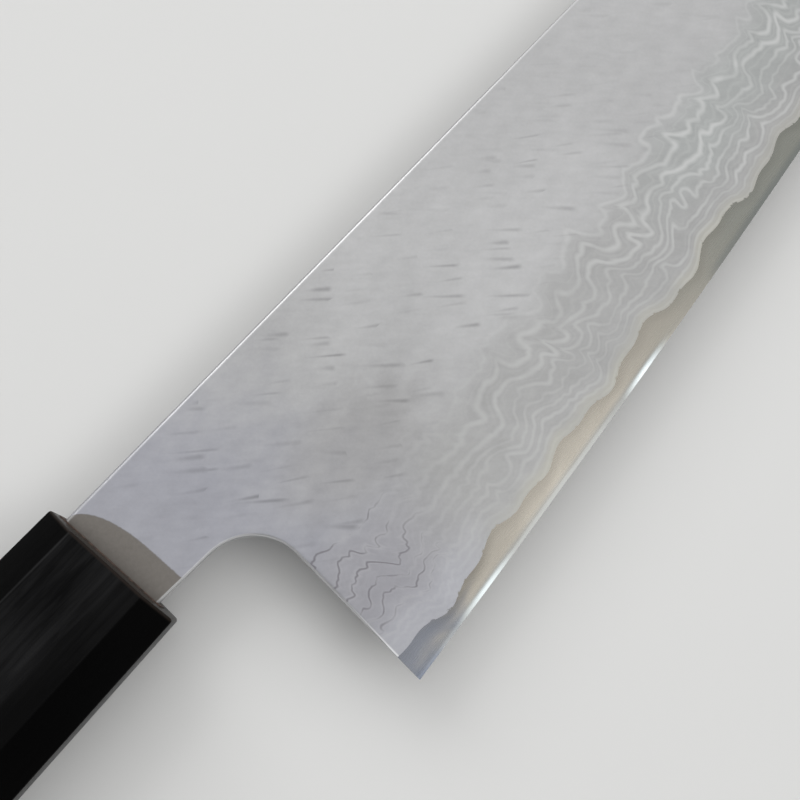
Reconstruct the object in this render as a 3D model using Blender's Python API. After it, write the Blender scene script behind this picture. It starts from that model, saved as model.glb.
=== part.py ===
"""Gyuto knife: a three layer blade, hard core between two damascus claddings, in an eight-sided handle.

Metres, +Z up. The knife lies on its side: +X runs to the tip, +Y to the spine, and the right cladding
faces up. While it is built the origin is where the spine line meets the ferrule's front face, in the
blade's middle plane. The last step stands the whole knife on Z = 0, centred.
"""

import math
from collections import namedtuple

import bmesh
import bpy
from mathutils import Vector

# Blade outline. Lengths run from the ferrule's front face, heights down from the spine line.
BLADE_LENGTH = 0.210
HEEL_HEIGHT = 0.048
NECK_LENGTH = 0.0149
NECK_HEIGHT = 0.01595
NECK_FLARE = math.radians(3.7)
HEEL_LEAN = math.radians(3.7)
CHOIL_RADIUS = 0.0079
EDGE_ANGLE = math.radians(2.24)
EDGE_RADIUS = 2.33
BELLY_START = 0.090
BELLY_POWER = 4
SPINE_STRAIGHT = 0.120
TIP_DROP = 0.0125

# Blade thickness and grind. The ridge's place is a share of the height from the spine to the core line.
NECK_THICKNESS = 0.0027
CORE_THICKNESS = 0.0006
RIDGE_SHARE = 0.56
RIDGE_THINNING = 0.10
GRIND_BULGE = 0.30
SPINE_ROUNDING = 0.0005
MOST_ROUNDING = 0.8  # of the cladding's thickness at the spine
BEVEL_HEIGHT = 0.0006
BEVEL_THICKNESS = 0.00022
MOST_BEVEL = 0.25  # of the core's height in view

# The core shows along the edge below a wavy line: its mean height, and waves of height, length and shift.
CORE_LINE = 0.0034
CORE_WAVES = ((0.00064, 0.0195, 1.97), (0.00032, 0.0078, 1.59), (0.00028, 0.0268, 3.31))
CALM_LENGTH = 0.036

# Handle: a box with four cut corners, which grows from the ferrule to the butt.
HANDLE_LENGTH = 0.140
FERRULE_LENGTH = 0.032
LIP_ABOVE_NECK = 0.00158
LIP_BELOW_NECK = 0.00307
HANDLE_THICKNESS = 0.0180
HANDLE_CORNER = 0.0045
ARRIS_ROUNDING = 0.0006
GROWTH_IN_HEIGHT = 0.0030
GROWTH_IN_THICKNESS = 0.0024
FRONT_ROUNDING = 0.0004
BUTT_ROUNDING = 0.0014

# Inside the handle.
FERRULE_WALL = 0.006
FERRULE_SIDE_WALL = 0.002
DOWEL_WALL = 0.00195
DOWEL_REACH = 0.025
BORE_STEP = 0.0015
BORE_SPARE = 0.004
TANG_LENGTH = 0.095
TANG_END_HEIGHT = 0.005
TANG_END_THICKNESS = 0.0020
SHOULDER_LENGTH = 0.0025
GLUE_GAP = 0.0003
SEAL_WIDTH = 0.00055
SEAL_DEPTH = 0.0010
SEAL_PROUD = 0.00015
SEAL_GAP = 0.0001

# How finely the curves are cut.
BLADE_STEP = 0.0016
TIP_STEPS = 5
CHOIL_STEPS = 10
NECK_STEPS = 3
TANG_STEPS = 6
SHOULDER_STEPS = 4
GRIND_STEPS = 5
ROUNDING_STEPS = 4
ARRIS_STEPS = 3
BORE_SIDES = 40
SAME_POINT = 1e-7
SHARP_ANGLE = math.radians(30)
CUT_PAST = 0.002

LEAN = math.tan(HEEL_LEAN)
FLARE = math.tan(NECK_FLARE)
EIGHTH = math.pi / 4
HALF_CORE = CORE_THICKNESS / 2
HANDLE_HEIGHT = LIP_ABOVE_NECK + NECK_HEIGHT + LIP_BELOW_NECK
HANDLE_AXIS = LIP_ABOVE_NECK - HANDLE_HEIGHT / 2
DOWEL_BORE = HANDLE_THICKNESS - 2 * FERRULE_SIDE_WALL
DOWEL_WIDTH = DOWEL_BORE - 2 * GLUE_GAP
DOWEL_END = FERRULE_LENGTH + DOWEL_REACH
TANG_HEIGHT = DOWEL_WIDTH - 2 * DOWEL_WALL
TANG_BORE = DOWEL_BORE - 2 * BORE_STEP
BORE_END = TANG_LENGTH + BORE_SPARE

# The blade is drawn in columns that lean like the heel line.
# A column's place is where it meets the spine line.
HEEL_PLACE = NECK_LENGTH + LEAN * HEEL_HEIGHT
TIP_PLACE = NECK_LENGTH + BLADE_LENGTH + LEAN * TIP_DROP
SHOULDER_END = -FERRULE_WALL + LEAN * NECK_HEIGHT
SHOULDER_START = SHOULDER_END + SHOULDER_LENGTH

Choil = namedtuple("Choil", "centre start end_height")
Section = namedtuple("Section", "spine edge core_line half")


def mix(a, b, share):
    return a + (b - a) * share


def smooth(share):
    share = min(1.0, max(0.0, share))
    return share * share * (3 - 2 * share)


def steps(start, end, count):
    return [mix(start, end, i / count) for i in range(count + 1)]


def spine_height(place):
    """The spine runs straight, then drops to the tip along a parabola."""
    start = NECK_LENGTH + SPINE_STRAIGHT
    return -TIP_DROP * (max(0.0, place - start) / (TIP_PLACE - start)) ** 2


def edge_height(place):
    """The edge leaves the heel at a small angle on a wide arc, and sweeps up to the tip from the belly."""
    run = max(0.0, place - HEEL_PLACE)
    whole = TIP_PLACE - HEEL_PLACE
    slope = math.tan(EDGE_ANGLE)
    left = HEEL_HEIGHT - TIP_DROP - slope * whole - whole**2 / (2 * EDGE_RADIUS)
    sweep = left * (max(0.0, run - BELLY_START) / (whole - BELLY_START)) ** BELLY_POWER
    return -HEEL_HEIGHT + slope * run + run**2 / (2 * EDGE_RADIUS) + sweep


def core_line_height(place):
    """The wavy line where the cladding ends, which calms down towards the tip."""
    calm = smooth((TIP_PLACE - place) / CALM_LENGTH)
    waves = sum(rise * math.sin(2 * math.pi * place / length + shift) for rise, length, shift in CORE_WAVES)
    return edge_height(place) + CORE_LINE + calm * waves


def find_cladding_end():
    """The place near the tip where the core line meets the spine."""
    low, high = TIP_PLACE - CALM_LENGTH, TIP_PLACE
    for _ in range(50):
        middle = (low + high) / 2
        if core_line_height(middle) < spine_height(middle):
            low = middle
        else:
            high = middle
    return low


CLADDING_END = find_cladding_end()


def half_thickness(place):
    """Half the blade's thickness at the spine. It thins from the neck to the tip and to the tang's end."""
    if place < 0:
        return mix(NECK_THICKNESS, TANG_END_THICKNESS, -place / TANG_LENGTH) / 2
    if place < CLADDING_END:
        return mix(NECK_THICKNESS, CORE_THICKNESS, place / CLADDING_END) / 2
    return HALF_CORE * (TIP_PLACE - place) / (TIP_PLACE - CLADDING_END)


def section_at(place):
    spine = spine_height(place)
    return Section(spine, edge_height(place), min(core_line_height(place), spine), half_thickness(place))


def neck_underside(place):
    """Height of the neck's straight underside where the leaning column meets it."""
    return -(NECK_HEIGHT + FLARE * place) / (1 + FLARE * LEAN)


def make_choil():
    """The arc between the neck's underside and the heel line: centre, first column and lower end."""
    corner_height = neck_underside(HEEL_PLACE)
    corner = Vector((HEEL_PLACE + LEAN * corner_height, corner_height))
    down = Vector((-LEAN, -1)).normalized()
    back = Vector((-1, FLARE)).normalized()
    half_angle = down.angle(back) / 2
    centre = corner + (down + back).normalized() * CHOIL_RADIUS / math.sin(half_angle)
    reach = CHOIL_RADIUS / math.tan(half_angle)
    start = corner + back * reach
    return Choil(centre, start.x - LEAN * start.y, (corner + down * reach).y)


CHOIL = make_choil()


def choil_height(place):
    """Where a leaning column meets the upper side of the choil's arc."""
    across = place - CHOIL.centre.x
    a = 1 + LEAN**2
    b = LEAN * across - CHOIL.centre.y
    c = across**2 + CHOIL.centre.y**2 - CHOIL_RADIUS**2
    return (-b + math.sqrt(max(0.0, b * b - a * c))) / a


def tang_height_at(length):
    """The tang's height at a distance behind the ferrule's face."""
    front = -SHOULDER_END
    return mix(TANG_HEIGHT, TANG_END_HEIGHT, max(0.0, length - front) / (TANG_LENGTH - front))


def neck_heights(place):
    """Top and underside of the neck and, past the shoulders inside the ferrule, of the tang."""
    half = tang_height_at(-place) / 2
    step = smooth((SHOULDER_START - place) / SHOULDER_LENGTH)
    underside = neck_underside(place) if place < CHOIL.start else choil_height(place)
    return mix(spine_height(place), HANDLE_AXIS + half, step), mix(underside, HANDLE_AXIS - half, step)


def face_half(section, share):
    """Half thickness at a share of the height from the spine to the core line: flat, ridge, ground face."""
    ridge = mix(section.half, HALF_CORE, RIDGE_THINNING)
    if share <= RIDGE_SHARE:
        return mix(section.half, ridge, share / RIDGE_SHARE)
    down = (share - RIDGE_SHARE) / (1 - RIDGE_SHARE)
    return HALF_CORE + (ridge - HALF_CORE) * (1 - down) * (1 + GRIND_BULGE * down)


def find_choil_share():
    """Where the choil's arc ends on the heel line, as a share of the height from spine to core line."""
    heel = section_at(HEEL_PLACE)
    return (heel.spine - CHOIL.end_height) / (heel.spine - heel.core_line)


CHOIL_SHARE = find_choil_share()
FACE_SHARES = sorted({CHOIL_SHARE, *steps(RIDGE_SHARE, 1.0, GRIND_STEPS)})
NECK_SHARES = [share for share in FACE_SHARES if share <= CHOIL_SHARE]


def rounded_top(top, half):
    """The cladding's edge at the spine: its inner corner, then a quarter round to the face."""
    radius = min(SPINE_ROUNDING, MOST_ROUNDING * (half - HALF_CORE))
    points = [(top, HALF_CORE)]
    for turn in steps(0, math.pi / 2, ROUNDING_STEPS):
        points.append((top - radius * (1 - math.cos(turn)), half - radius * (1 - math.sin(turn))))
    return points


def cladding_section(place):
    """Points (height, half thickness) round the cladding in one column of the blade."""
    section = section_at(place)
    points = rounded_top(section.spine, section.half)
    for share in FACE_SHARES:
        points.append((mix(section.spine, section.core_line, share), face_half(section, share)))
    return points + [(mix(section.spine, section.core_line, CHOIL_SHARE), HALF_CORE)]


def cladding_neck(place):
    """The same before the heel line, where the face is flat and the grind fades in over the choil."""
    top, bottom = neck_heights(place)
    heel = section_at(HEEL_PLACE)
    half = half_thickness(place)
    fade = smooth((place - CHOIL.start) / (HEEL_PLACE - CHOIL.start))
    points = rounded_top(top, half)
    for share in NECK_SHARES:
        points.append((mix(top, bottom, share / CHOIL_SHARE), mix(half, face_half(heel, share), fade)))
    return points + [(bottom, HALF_CORE)]


def mirrored(points):
    return [(height, -half) for height, half in reversed(points)]


def core_section(place):
    """Points round the core in one column of the blade: down its right side to the edge and up the left."""
    section = section_at(place)
    flat = min(HALF_CORE, section.half)
    bevel_top = section.edge + min(BEVEL_HEIGHT, MOST_BEVEL * (section.core_line - section.edge))
    bevel_half = min(BEVEL_THICKNESS, flat) / 2
    right = [
        (section.spine, flat),
        (mix(section.spine, section.core_line, CHOIL_SHARE), flat),
        (section.core_line, flat),
        (mix(bevel_top, section.core_line, 0.5), mix(bevel_half, flat, 0.5 + GRIND_BULGE / 4)),
        (bevel_top, bevel_half),
    ]
    return right + [(section.edge, 0.0)] + mirrored(right)


def core_neck(place):
    right = [(height, HALF_CORE) for height in neck_heights(place)]
    return right + mirrored(right)


def blade_places():
    """Columns from the heel line to where the claddings end."""
    return steps(HEEL_PLACE, CLADDING_END, round((CLADDING_END - HEEL_PLACE) / BLADE_STEP))


def neck_places():
    """Columns from the tang's end to just before the heel line."""
    places = steps(-TANG_LENGTH, SHOULDER_END, TANG_STEPS)
    places += steps(SHOULDER_END, SHOULDER_START, SHOULDER_STEPS)[1:]
    places += steps(SHOULDER_START, CHOIL.start, NECK_STEPS)[1:]
    turns = steps(0, math.pi / 2, CHOIL_STEPS)[1:-1]
    return places + [mix(CHOIL.start, HEEL_PLACE, math.sin(turn)) for turn in turns]


def ring(bm, place, points):
    return [bm.verts.new((place + LEAN * height, height, half)) for height, half in points]


def skin(bm, rings):
    """Quads between each ring of points and the next."""
    for first, second in zip(rings, rings[1:]):
        for i, corner in enumerate(first):
            j = (i + 1) % len(first)
            bm.faces.new((corner, first[j], second[j], second[i]))


def paint(name, colour, roughness, metallic=0.0):
    material = bpy.data.materials.new(name)
    material.use_nodes = True
    shader = material.node_tree.nodes["Principled BSDF"]
    shader.inputs["Base Color"].default_value = (*colour, 1.0)
    shader.inputs["Roughness"].default_value = roughness
    shader.inputs["Metallic"].default_value = metallic
    return material


def finish_mesh(bm, name, material=None):
    """Welds what meets in one point, turns the faces out and makes the object."""
    bmesh.ops.remove_doubles(bm, verts=bm.verts, dist=SAME_POINT)
    bmesh.ops.recalc_face_normals(bm, faces=bm.faces)
    mesh = bpy.data.meshes.new(name)
    bm.to_mesh(mesh)
    bm.free()
    mesh.shade_smooth()
    mesh.set_sharp_from_angle(angle=SHARP_ANGLE)
    if material:
        mesh.materials.append(material)
    thing = bpy.data.objects.new(name, mesh)
    bpy.context.collection.objects.link(thing)
    return thing


def join_neck(bm, blade, neck, after):
    """Skins blade and neck. The neck's last ring is the start of the heel's ring and its last few points."""
    heel = blade[0]
    before = len(neck[0]) - after
    skin(bm, blade)
    skin(bm, neck + [heel[:before] + heel[-after:]])
    bm.faces.new(neck[0])
    bm.faces.new(heel[before - 1 : len(heel) - after + 1])


def make_cladding(name, side, material):
    """One damascus layer, from the spine to its feather edge on the core line, with neck and tang."""
    bm = bmesh.new()
    blade = [ring(bm, place, cladding_section(place)) for place in blade_places()]
    neck = [ring(bm, place, cladding_neck(place)) for place in neck_places()]
    join_neck(bm, blade, neck, after=1)
    bmesh.ops.scale(bm, vec=(1, 1, side), verts=bm.verts)
    return finish_mesh(bm, name, material)


def make_core(material):
    """The hard layer with neck and tang: flat under the claddings, ground to the edge below the core line."""
    bm = bmesh.new()
    places = blade_places() + steps(CLADDING_END, TIP_PLACE, TIP_STEPS)[1:]
    blade = [ring(bm, place, core_section(place)) for place in places]
    neck = [ring(bm, place, core_neck(place)) for place in neck_places()]
    join_neck(bm, blade, neck, after=2)
    return finish_mesh(bm, "blade_core", material)


def eased_corner(corner, turn):
    """Points of the small arc between the side that faces turn, measured from the spine, and the next."""
    facing = [Vector((math.sin(side), math.cos(side))) for side in (turn, turn + EIGHTH)]
    centre = Vector(corner) - (facing[0] + facing[1]) * ARRIS_ROUNDING / (1 + facing[0].dot(facing[1]))
    turns = steps(turn, turn + EIGHTH, ARRIS_STEPS)
    return [centre + Vector((math.sin(t), math.cos(t))) * ARRIS_ROUNDING for t in turns]


def octagon(bm, length, inset=0.0):
    """The handle's section at a distance behind the ferrule's face, with every side drawn in by inset."""
    share = length / HANDLE_LENGTH
    half_height = (HANDLE_HEIGHT + GROWTH_IN_HEIGHT * share) / 2
    half_thickness_here = (HANDLE_THICKNESS + GROWTH_IN_THICKNESS * share) / 2
    corner = HANDLE_CORNER * (1 + GROWTH_IN_THICKNESS / HANDLE_THICKNESS * share)
    drawn = inset * math.tan(EIGHTH / 2)
    up, short_up = half_height - inset, half_height - corner - drawn
    out, short_out = half_thickness_here - inset, half_thickness_here - corner - drawn
    quarter = eased_corner((short_out, up), 0) + eased_corner((out, short_up), EIGHTH)
    right = quarter + [(x, -y) for x, y in reversed(quarter)]
    outline = right + [(-x, y) for x, y in reversed(right)]
    return [bm.verts.new((-length, HANDLE_AXIS + y, x)) for x, y in outline]


def rounded_end(bm, length, inwards, radius):
    """Rings from an end face out to the sides on a quarter round, with inwards 1 at the front, -1 behind."""
    turns = steps(0, math.pi / 2, ROUNDING_STEPS)
    return [
        octagon(bm, length + inwards * radius * (1 - math.cos(turn)), radius * (1 - math.sin(turn)))
        for turn in turns
    ]


def close_prism(bm, rings):
    skin(bm, rings)
    bm.faces.new(rings[0])
    bm.faces.new(rings[-1])


def make_rod(name, start, end, diameter, material=None):
    """A round rod on the handle's axis, between two distances behind the ferrule's face."""
    bm = bmesh.new()
    rings = []
    for length in (start, end):
        turns = steps(0, 2 * math.pi, BORE_SIDES)[:-1]
        circle = [(math.cos(turn) * diameter / 2, math.sin(turn) * diameter / 2) for turn in turns]
        rings.append([bm.verts.new((-length, HANDLE_AXIS + y, x)) for x, y in circle])
    close_prism(bm, rings)
    return finish_mesh(bm, name, material)


def make_block(name, start, end, top, bottom, thickness, material=None):
    """A block across the blade's middle plane, between two distances behind the ferrule's face."""
    bm = bmesh.new()
    half = thickness / 2
    rings = []
    for length in (start, end):
        corners = ((top, half), (bottom, half), (bottom, -half), (top, -half))
        rings.append([bm.verts.new((-length, height, out)) for height, out in corners])
    close_prism(bm, rings)
    return finish_mesh(bm, name, material)


def neck_block(name, start, end, spare, material=None):
    """A block that goes round the neck in the ferrule's mouth with spare room on every side."""
    return make_block(name, start, end, spare, -NECK_HEIGHT - spare, NECK_THICKNESS + 2 * spare, material)


def tang_block(name, start, end, widest):
    """A block that goes round the tang with a glue gap, sized where the tang is widest inside it."""
    half = tang_height_at(widest) / 2 + GLUE_GAP
    return make_block(name, start, end, HANDLE_AXIS + half, HANDLE_AXIS - half, NECK_THICKNESS + 2 * GLUE_GAP)


def cut(thing, cutter):
    modifier = thing.modifiers.new(cutter.name, "BOOLEAN")
    modifier.operation = "DIFFERENCE"
    modifier.solver = "EXACT"
    modifier.object = cutter
    cutter.hide_render = True
    cutter.display_type = "WIRE"


def make_ferrule(material):
    """The horn front end: a bore for the dowel from behind and a slot for the neck through its front wall."""
    bm = bmesh.new()
    close_prism(bm, rounded_end(bm, 0.0, 1, FRONT_ROUNDING) + [octagon(bm, FERRULE_LENGTH)])
    ferrule = finish_mesh(bm, "horn_ferrule", material)
    cut(ferrule, make_rod("ferrule_bore", FERRULE_WALL, FERRULE_LENGTH + CUT_PAST, DOWEL_BORE))
    cut(ferrule, neck_block("neck_slot", -CUT_PAST, FERRULE_WALL + CUT_PAST, GLUE_GAP))
    cut(ferrule, neck_block("seal_seat", -CUT_PAST, SEAL_DEPTH, 2 * SEAL_GAP + SEAL_WIDTH))
    return ferrule


def make_body(material):
    """The ebony body behind the ferrule, with a bore for the dowel and a narrower one for the tang."""
    bm = bmesh.new()
    butt = rounded_end(bm, HANDLE_LENGTH, -1, BUTT_ROUNDING)
    close_prism(bm, [octagon(bm, FERRULE_LENGTH)] + butt[::-1])
    body = finish_mesh(bm, "ebony_handle", material)
    cut(body, make_rod("body_bore", FERRULE_LENGTH - CUT_PAST, DOWEL_END + GLUE_GAP, DOWEL_BORE))
    cut(body, make_rod("tang_bore", FERRULE_LENGTH, BORE_END, TANG_BORE))
    return body


def make_dowel(material):
    start = FERRULE_WALL + GLUE_GAP
    dowel = make_rod("ferrule_dowel", start, DOWEL_END, DOWEL_WIDTH, material)
    cut(dowel, tang_block("dowel_slot", start - CUT_PAST, DOWEL_END + CUT_PAST, start))
    return dowel


def make_bedding(material):
    """The filler behind the dowel, which the last stretch of the tang is set in."""
    start = DOWEL_END + 2 * GLUE_GAP
    bedding = make_rod("tang_bedding", start, BORE_END - GLUE_GAP, TANG_BORE - 2 * GLUE_GAP, material)
    tang_end = TANG_LENGTH - LEAN * (HANDLE_AXIS - TANG_END_HEIGHT) + GLUE_GAP
    cut(bedding, tang_block("bedding_slot", start - CUT_PAST, tang_end, start))
    return bedding


def make_seal(material):
    """The bead of filler that closes the slot round the neck and stands a little proud of the ferrule."""
    seal = neck_block("mouth_seal", -SEAL_PROUD, SEAL_DEPTH - SEAL_GAP, SEAL_GAP + SEAL_WIDTH, material)
    cut(seal, neck_block("seal_hole", -CUT_PAST, SEAL_DEPTH + CUT_PAST, SEAL_GAP))
    return seal


def stand_on_ground(things, cutters):
    """Hangs everything on one empty and moves it so that the knife's box is centred on Z = 0."""
    knife = bpy.data.objects.new("knife", None)
    bpy.context.collection.objects.link(knife)
    for thing in things + cutters:
        thing.parent = knife
    points = [vertex.co for thing in things for vertex in thing.data.vertices]
    low = Vector(min(point[axis] for point in points) for axis in range(3))
    high = Vector(max(point[axis] for point in points) for axis in range(3))
    knife.location = (-(low.x + high.x) / 2, -(low.y + high.y) / 2, -low.z)


def main():
    for thing in list(bpy.data.objects):
        bpy.data.objects.remove(thing)
    damascus = paint("damascus_steel", (0.47, 0.47, 0.50), 0.38, 1.0)
    things = [
        make_core(paint("core_steel", (0.34, 0.33, 0.30), 0.30, 1.0)),
        make_cladding("cladding_right", 1, damascus),
        make_cladding("cladding_left", -1, damascus),
        make_ferrule(paint("black_horn", (0.012, 0.012, 0.013), 0.35)),
        make_body(paint("ebony", (0.010, 0.009, 0.009), 0.45)),
        make_dowel(paint("magnolia_wood", (0.55, 0.42, 0.27), 0.70)),
        make_bedding(paint("bedding_resin", (0.30, 0.17, 0.07), 0.50)),
        make_seal(paint("brown_filler", (0.10, 0.055, 0.035), 0.60)),
    ]
    cutters = [thing for thing in bpy.data.objects if thing.hide_render]
    stand_on_ground(things, cutters)


main()
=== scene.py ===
import math

import bmesh
import bpy
import numpy as np
from mathutils import Matrix, Vector


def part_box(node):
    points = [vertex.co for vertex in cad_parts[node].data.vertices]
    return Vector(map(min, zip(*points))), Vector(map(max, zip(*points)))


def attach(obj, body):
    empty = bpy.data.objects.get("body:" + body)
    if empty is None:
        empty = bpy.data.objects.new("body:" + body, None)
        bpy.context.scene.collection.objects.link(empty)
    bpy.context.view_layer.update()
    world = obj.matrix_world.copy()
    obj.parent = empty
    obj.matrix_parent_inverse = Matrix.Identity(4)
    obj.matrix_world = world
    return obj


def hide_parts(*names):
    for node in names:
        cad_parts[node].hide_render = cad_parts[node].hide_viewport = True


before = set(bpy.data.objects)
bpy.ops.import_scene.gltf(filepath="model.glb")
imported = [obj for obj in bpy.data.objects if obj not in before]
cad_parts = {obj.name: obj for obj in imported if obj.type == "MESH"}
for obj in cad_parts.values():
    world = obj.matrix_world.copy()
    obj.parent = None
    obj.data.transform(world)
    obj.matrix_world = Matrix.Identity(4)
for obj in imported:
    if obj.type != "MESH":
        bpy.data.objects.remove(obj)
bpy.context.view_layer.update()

print("frame loaded:", ", ".join(sorted(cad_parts)))

# Sizes are in mm unless a note says otherwise; mm turns them into Blender's metres.
mm = 0.001


def boxOf(node):
    low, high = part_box(node)
    return Vector(low) / mm, Vector(high) / mm


_, ferruleHigh = boxOf("horn_ferrule")
coreLow, coreHigh = boxOf("blade_core")

# The blade's zero is where its spine line, the ferrule's face and its middle plane meet.
bladeZero = Vector((ferruleHigh.x, coreHigh.y, (coreLow.z + coreHigh.z) / 2))

blade = {
    "neckLength": 14.9,
    "neckHeight": 15.95,
    "neckFlare": 3.7,  # degrees
    "heelLean": 3.7,  # degrees
    "heelHeight": coreHigh.y - coreLow.y,
    "choilRadius": 7.9,
    "edgeAngle": 2.24,  # degrees
    "edgeRadius": 2330.0,
    "bellyStart": 90.0,
    "bellyPower": 4,
    "spineStraight": 120.0,
    "tipDrop": 12.5,
    "neckThickness": 2.7,
    "coreThickness": 0.6,
    "ridgeShare": 0.56,  # of the height, where the grind starts
    "ridgeThinning": 0.10,
    "grindBulge": 0.30,
    "spineRounding": 0.50,
    "bevelHeight": 0.6,
    "bevelThickness": 0.22,
    "mostBevel": 0.25,  # of the core's strip, where that runs out at the tip
    "coreLine": 3.4,
    "coreWaves": ((0.64, 19.5, 1.97), (0.32, 7.8, 1.59), (0.28, 26.8, 3.31)),  # rise, length and shift
    "calmLength": 36.0,  # of the end, where the waves die down
}
tang = {
    "length": 95.0,
    "height": 9.5,
    "endHeight": 5.0,
    "endThickness": 2.0,
    "shoulderLength": 2.5,
    "ferruleWall": 6.0,
    "axis": -8.72,
}

lean = math.tan(math.radians(blade["heelLean"]))
flare = math.tan(math.radians(blade["neckFlare"]))
halfCore = blade["coreThickness"] / 2
bladeLength = coreHigh.x - bladeZero.x - blade["neckLength"]
heelPlace = blade["neckLength"] + lean * blade["heelHeight"]
tipPlace = blade["neckLength"] + bladeLength + lean * blade["tipDrop"]
shoulderEnd = -tang["ferruleWall"] + lean * blade["neckHeight"]
shoulderStart = shoulderEnd + tang["shoulderLength"]


def mix(a, b, share):
    return a + (b - a) * share


def smooth(share):
    share = np.clip(share, 0.0, 1.0)
    return share * share * (3 - 2 * share)


def spineHeight(place):
    start = blade["neckLength"] + blade["spineStraight"]
    return -blade["tipDrop"] * (np.maximum(0.0, place - start) / (tipPlace - start)) ** 2


def edgeHeight(place):
    run = np.maximum(0.0, place - heelPlace)
    whole = tipPlace - heelPlace
    slope = math.tan(math.radians(blade["edgeAngle"]))
    left = blade["heelHeight"] - blade["tipDrop"] - slope * whole - whole**2 / (2 * blade["edgeRadius"])
    sweep = np.maximum(0.0, run - blade["bellyStart"]) / (whole - blade["bellyStart"])
    curved = run**2 / (2 * blade["edgeRadius"]) + left * sweep ** blade["bellyPower"]
    return -blade["heelHeight"] + slope * run + curved


def coreLineHeight(place):
    calm = smooth((tipPlace - place) / blade["calmLength"])
    waves = 0
    for rise, length, shift in blade["coreWaves"]:
        waves = waves + rise * np.sin(2 * math.pi * place / length + shift)
    return edgeHeight(place) + blade["coreLine"] + calm * waves


def findCladdingEnd():
    # where the core line meets the spine, found by halving
    low, high = tipPlace - blade["calmLength"], tipPlace
    for _ in range(50):
        middle = (low + high) / 2
        if coreLineHeight(middle) < spineHeight(middle):
            low = middle
        else:
            high = middle
    return low


claddingEnd = findCladdingEnd()


def halfThickness(place):
    # of the neck, the blade and, past the claddings, the bare core
    if place < 0:
        return mix(blade["neckThickness"], tang["endThickness"], -place / tang["length"]) / 2
    if place < claddingEnd:
        return mix(blade["neckThickness"], blade["coreThickness"], place / claddingEnd) / 2
    return halfCore * (tipPlace - place) / (tipPlace - claddingEnd)


def neckUnderside(place):
    return -(blade["neckHeight"] + flare * place) / (1 + flare * lean)


def makeChoil():
    # the arc between the neck's underside and the heel line
    cornerHeight = neckUnderside(heelPlace)
    corner = Vector((heelPlace + lean * cornerHeight, cornerHeight))
    down = Vector((-lean, -1)).normalized()
    back = Vector((-1, flare)).normalized()
    half = down.angle(back) / 2
    reach = blade["choilRadius"] / math.tan(half)
    start = corner + back * reach
    return {
        "centre": corner + (down + back).normalized() * blade["choilRadius"] / math.sin(half),
        "start": start.x - lean * start.y,
        "endHeight": (corner + down * reach).y,
        "down": down,
        "back": back,
    }


choil = makeChoil()


def choilHeight(place):
    across = place - choil["centre"].x
    a = 1 + lean**2
    b = lean * across - choil["centre"].y
    c = across**2 + choil["centre"].y ** 2 - blade["choilRadius"] ** 2
    return (-b + math.sqrt(max(0.0, b * b - a * c))) / a


def neckHeights(place):
    # top and underside of the neck and, behind the shoulders, of the tang
    along = max(0.0, -place + shoulderEnd) / (tang["length"] + shoulderEnd)
    half = mix(tang["height"], tang["endHeight"], along) / 2
    step = float(smooth((shoulderStart - place) / tang["shoulderLength"]))
    underside = neckUnderside(place) if place < choil["start"] else choilHeight(place)
    return mix(0.0, tang["axis"] + half, step), mix(underside, tang["axis"] - half, step)


def faceHalf(half, share):
    # half thickness at shares of the height from the spine to the core line
    ridge = mix(half, halfCore, blade["ridgeThinning"])
    down = np.clip((share - blade["ridgeShare"]) / (1 - blade["ridgeShare"]), 0.0, 1.0)
    ground = halfCore + (ridge - halfCore) * (1 - down) * (1 + blade["grindBulge"] * down)
    return np.where(share <= blade["ridgeShare"], mix(half, ridge, share / blade["ridgeShare"]), ground)


def fromOutline(x, y):
    # how far a point lies inside the neck's underside, the choil and the heel line
    fromCentre = np.stack([x - choil["centre"].x, y - choil["centre"].y])
    back, down = choil["back"], choil["down"]
    alongBack = fromCentre[0] * back.x + fromCentre[1] * back.y
    alongDown = fromCentre[0] * down.x + fromCentre[1] * down.y
    overNeck = fromCentre[0] * back.y - fromCentre[1] * back.x
    besideHeel = -fromCentre[0] * down.y + fromCentre[1] * down.x
    reach = np.where(alongBack > 0, overNeck, np.where(alongDown > 0, besideHeel, np.hypot(*fromCentre)))
    return reach - blade["choilRadius"]


finish = {
    "rowStep": 0.32,
    "columnStep": 0.32,
    "farStep": 0.45,  # past the stretch that is seen close
    "farFrom": 128.0,
    "tangStep": 12.0,
    "shoulderStep": 0.5,
    "tipStep": 0.5,
    "choilSteps": 42,
    "spineSteps": 6,
    "grindSteps": (0.25, 0.5, 0.75),  # of the way from the core line to the bevel
    "bevelKnee": (0.55, 0.52),  # shares of the bevel's height and thickness
    "edgeEasing": 0.34,  # rounding of the face towards the choil and the heel
    "mostEasing": 0.6,  # of the thickness
    "easedRows": (0.03, 0.08, 0.15, 0.24),
    "sharpFrom": math.radians(28),
    "seed": 11,
}
dents = {
    "count": 300,
    "depth": 0.020,
    "length": 1.7,
    "width": 0.36,
    "widening": 0.35,  # towards the heavy end
    "heavyEnd": 0.5,
    "turn": -45,  # degrees
    "turnSpread": 9,
    "sizes": (0.6, 1.3),
    "reach": (-4, 215),
    "evenShare": 0.35,  # of the dents lie evenly, the others gather by the neck
    "crowd": (5.0, 9.0),
    "top": 1,  # below the spine
    "band": 30,
    "bandDraw": (1.3, 1.5),
    "halfBox": 5,  # no dent reaches further
    "facetDepth": 0.010,
    "facetShares": (0.3, 1.0),
    "facetSizes": (2.0, 4.5),
    "facetHalfBox": 9,
    "spineCalm": (0.6, 1.5),  # from the spine: where the dents start, and the run to their whole depth
    "edgeCalm": (22, 5),
    "outlineCalm": (0.0, 0.8),
    "neckCalm": (4, 10),
    "neckShare": 0.25,  # of their depth on the neck
    "wholeFrom": 0.5,  # the cladding's thickness that carries them whole
    "mostDepth": 0.9,  # of the thickness
}
mapSize = 100.0  # mm of the blade on one unit of a flat map


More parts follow.
